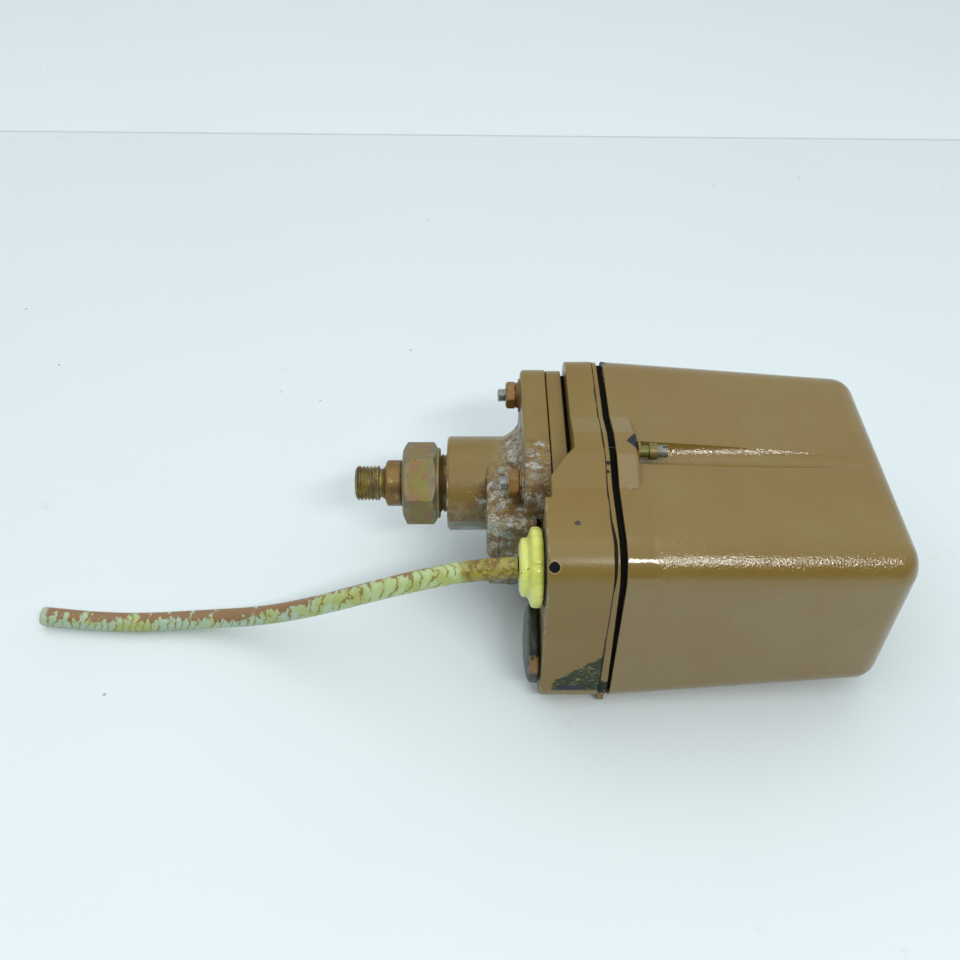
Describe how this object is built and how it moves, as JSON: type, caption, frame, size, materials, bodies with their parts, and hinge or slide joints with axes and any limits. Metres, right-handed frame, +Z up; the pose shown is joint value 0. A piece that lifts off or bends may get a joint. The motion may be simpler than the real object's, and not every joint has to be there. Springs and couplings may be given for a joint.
{
  "type": "pressure switch",
  "caption": "Diecast pressure switch with a bolted diaphragm chamber, union-nut pressure connection, removable cover, cable gland and short cable.",
  "frame": {"origin": "bottom centre of the switch's bounding box without its cable, on the face it lies on", "axes": "+X from the pressure connection towards the cover's closed end, +Y from the wall with the cable entries to the pressure side, +Z up from the resting face"},
  "size_m": [0.3034, 0.1054, 0.0809],
  "materials": {
    "housing_paint": "orange-peel brown paint",
    "chamber_paint": "worn brown paint with white corrosion",
    "nut_paint": "painted zinc-plated steel",
    "black_rubber": "matte",
    "passivated_steel": "yellow passivated zinc, stained",
    "plain_steel": "bright zinc",
    "frame_steel": "zinc-plated sheet",
    "spring_steel": "drawn wire",
    "brass": "turned",
    "gland_plastic": "yellow-green, moulded",
    "black_plastic": "dark, moulded",
    "cable_sheath": "pale green sheath",
    "core_insulation": "coloured cores",
    "phenolic": "dark brown moulding",
    "terminal_plastic": "ivory moulding",
    "plunger_plastic": "red",
    "scale_aluminium": "satin, with plain divisions"
  },
  "bodies": {
    "base": {"base_housing": "housing_paint", "sealing_frame": "housing_paint", "clamp_flange": "housing_paint", "pressure_chamber": "chamber_paint", "flange_nuts": "nut_paint", "flange_washers": "nut_paint", "cover_gasket": "black_rubber", "spacer_gasket": "black_rubber", "box_gasket": "black_rubber", "diaphragm": "black_rubber", "gland_seal": "black_rubber", "connection_nipple": "passivated_steel", "stud_fitting": "passivated_steel", "earth_screw": "passivated_steel", "flange_studs": "plain_steel", "frame_screws": "plain_steel", "lever_pivot_pin": "plain_steel", "pivot_clips": "plain_steel", "scale_screws": "plain_steel", "snap_switch_screws": "plain_steel", "bracket_screw": "plain_steel", "terminal_screws": "plain_steel", "mechanism_frame": "frame_steel", "terminal_bracket": "frame_steel", "range_spring": "spring_steel", "differential_spring": "spring_steel", "rod_bush": "brass", "snap_switch_tabs": "brass", "terminal_clamps": "brass", "gland_body": "black_plastic", "gland_locknut": "black_plastic", "gland_washer": "black_plastic", "plug_washer": "black_plastic", "cable": "cable_sheath", "cable_tail": "cable_sheath", "supply_cores": "core_insulation", "switch_leads": "core_insulation", "snap_switch_body": "phenolic", "terminal_block": "terminal_plastic", "scale_plate": "scale_aluminium"},
    "union_nut": {"union_nut": "passivated_steel"},
    "gland_nut": {"gland_nut": "gland_plastic"},
    "blanking_plug": {"blanking_plug": "black_plastic"},
    "cover": {"cover_shell": "housing_paint", "screw_retainer": "plain_steel"},
    "cover_screw": {"cover_screw": "passivated_steel"},
    "lever": {"main_lever": "frame_steel", "lever_spring_cap": "frame_steel"},
    "push_rod": {"push_rod": "brass"},
    "switch_plunger": {"snap_switch_plunger": "plunger_plastic"},
    "range_screw": {"range_screw": "brass"},
    "range_seat": {"range_seat": "brass", "range_pointer": "brass"},
    "differential_screw": {"differential_screw": "brass"},
    "differential_seat": {"differential_seat": "brass"}
  },
  "joints": [
    {"name": "cover_pull", "type": "slide", "parent": "base", "child": "cover", "axis": [1, 0, 0], "range_m": [0, 0.12]},
    {"name": "cover_screw_turn", "type": "hinge", "parent": "cover", "child": "cover_screw", "pos_m": [0.00405, -0.0029, 0.0773], "axis": [1, 0, 0], "continuous": true},
    {"name": "union_nut_turn", "type": "hinge", "parent": "base", "child": "union_nut", "pos_m": [-0.06795, 0.0197, 0.0396], "axis": [1, 0, 0], "continuous": true},
    {"name": "gland_nut_turn", "type": "hinge", "parent": "base", "child": "gland_nut", "pos_m": [-0.02995, -0.038, 0.0593], "axis": [1, 0, 0], "continuous": true},
    {"name": "blanking_plug_turn", "type": "hinge", "parent": "base", "child": "blanking_plug", "pos_m": [-0.02895, -0.038, 0.0181], "axis": [1, 0, 0], "continuous": true},
    {"name": "lever_tilt", "type": "hinge", "parent": "base", "child": "lever", "pos_m": [0.00405, 0.0413, 0.0396], "axis": [0, 0, 1], "range_deg": [0, 3]},
    {"name": "push_rod_travel", "type": "slide", "parent": "base", "child": "push_rod", "axis": [1, 0, 0], "range_m": [0, 0.00115]},
    {"name": "switch_plunger_travel", "type": "slide", "parent": "base", "child": "switch_plunger", "axis": [1, 0, 0], "range_m": [0, 0.00245]},
    {"name": "range_screw_turn", "type": "hinge", "parent": "base", "child": "range_screw", "pos_m": [0.06605, 0.0197, 0.0396], "axis": [1, 0, 0], "range_deg": [0, 2160]},
    {"name": "range_seat_travel", "type": "slide", "parent": "base", "child": "range_seat", "axis": [1, 0, 0], "range_m": [-0.0121, 0], "deforming": ["range_spring"]},
    {"name": "differential_screw_turn", "type": "hinge", "parent": "base", "child": "differential_screw", "pos_m": [0.06605, 0.0328, 0.0396], "axis": [1, 0, 0], "range_deg": [0, 1440]},
    {"name": "differential_seat_travel", "type": "slide", "parent": "base", "child": "differential_seat", "axis": [1, 0, 0], "range_m": [-0.0064, 0], "deforming": ["differential_spring"]}
  ],
  "couplings": [
    {"joint": "push_rod_travel", "follows": "lever_tilt", "m_per_rad": 0.0216},
    {"joint": "switch_plunger_travel", "follows": "lever_tilt", "m_per_rad": 0.046},
    {"joint": "range_seat_travel", "follows": "range_screw_turn", "m_per_rad": -0.00031831},
    {"joint": "differential_seat_travel", "follows": "differential_screw_turn", "m_per_rad": -0.00023873}
  ]
}
